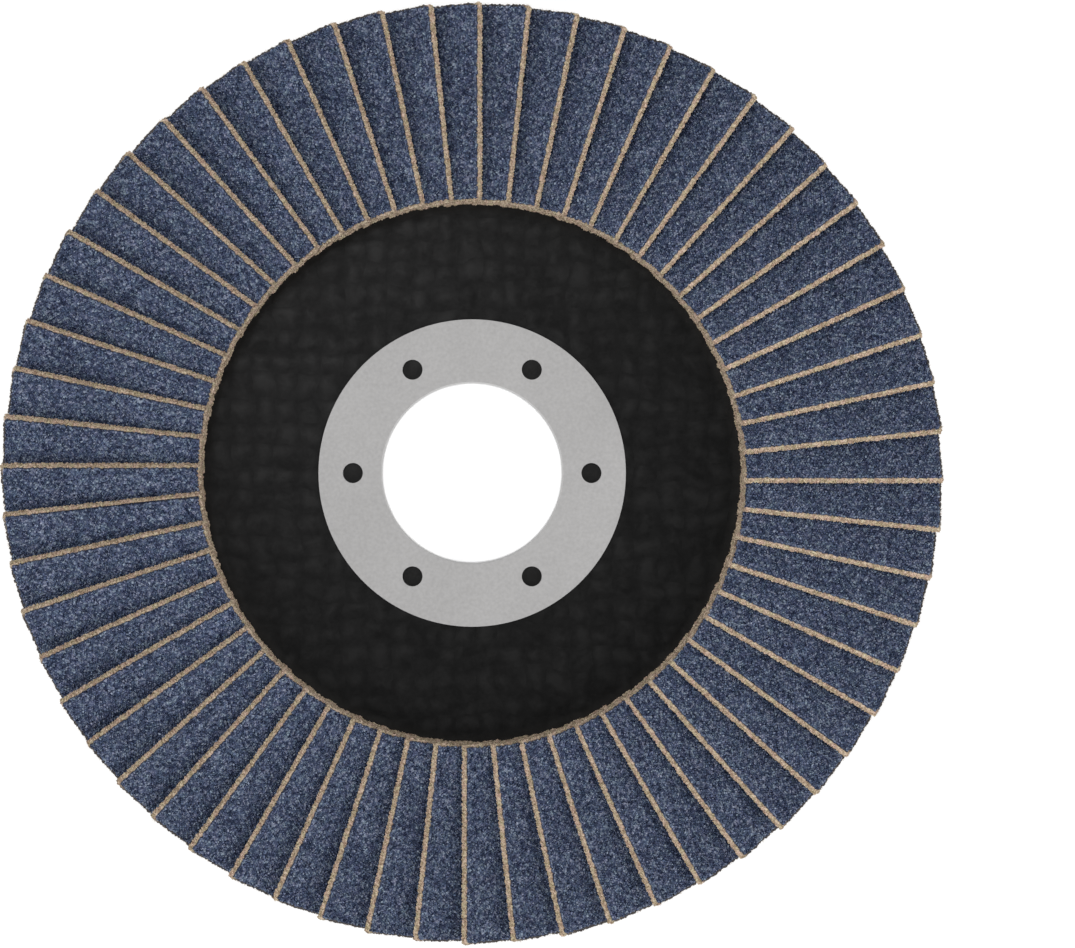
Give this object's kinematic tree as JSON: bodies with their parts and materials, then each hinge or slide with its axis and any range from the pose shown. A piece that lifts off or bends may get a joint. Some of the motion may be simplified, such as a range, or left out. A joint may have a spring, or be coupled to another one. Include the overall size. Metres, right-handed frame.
{
  "type": "flap disc",
  "caption": "Round grinding disc with a fan of overlapping abrasive cloth flaps bonded to a black glass-fibre backing plate with a metal centre ring.",
  "frame": {"origin": "centre of the bore at the plate's back face, on the surface that the disc lies on", "axes": "+Z along the bore axis from the plate's back towards the flaps; X and Y lie in the plate, with one flap along +X"},
  "size_m": [0.1158, 0.1158, 0.0084],
  "materials": {
    "plate_laminate": "black resin pressed over woven glass cloth, satin",
    "ring_metal": "pale grey, matte",
    "cured_adhesive": "dark cured epoxy",
    "abrasive_cloth": "blue-grey coarse grain on tan woven cloth"
  },
  "bodies": {
    "root": {"adhesive_ring": "cured_adhesive", "backing_plate": "plate_laminate", "centre_ring": "ring_metal", "flap_pair_01": "abrasive_cloth", "flap_pair_02": "abrasive_cloth", "flap_pair_03": "abrasive_cloth", "flap_pair_04": "abrasive_cloth", "flap_pair_05": "abrasive_cloth", "flap_pair_06": "abrasive_cloth", "flap_pair_07": "abrasive_cloth", "flap_pair_08": "abrasive_cloth", "flap_pair_09": "abrasive_cloth", "flap_pair_10": "abrasive_cloth", "flap_pair_11": "abrasive_cloth", "flap_pair_12": "abrasive_cloth", "flap_pair_13": "abrasive_cloth", "flap_pair_14": "abrasive_cloth", "flap_pair_15": "abrasive_cloth", "flap_pair_16": "abrasive_cloth", "flap_pair_17": "abrasive_cloth", "flap_pair_18": "abrasive_cloth", "flap_pair_19": "abrasive_cloth", "flap_pair_20": "abrasive_cloth", "flap_pair_21": "abrasive_cloth", "flap_pair_22": "abrasive_cloth", "flap_pair_23": "abrasive_cloth", "flap_pair_24": "abrasive_cloth", "flap_pair_25": "abrasive_cloth", "flap_pair_26": "abrasive_cloth", "flap_pair_27": "abrasive_cloth", "flap_pair_28": "abrasive_cloth", "flap_pair_29": "abrasive_cloth", "flap_pair_30": "abrasive_cloth"}
  },
  "joints": []
}
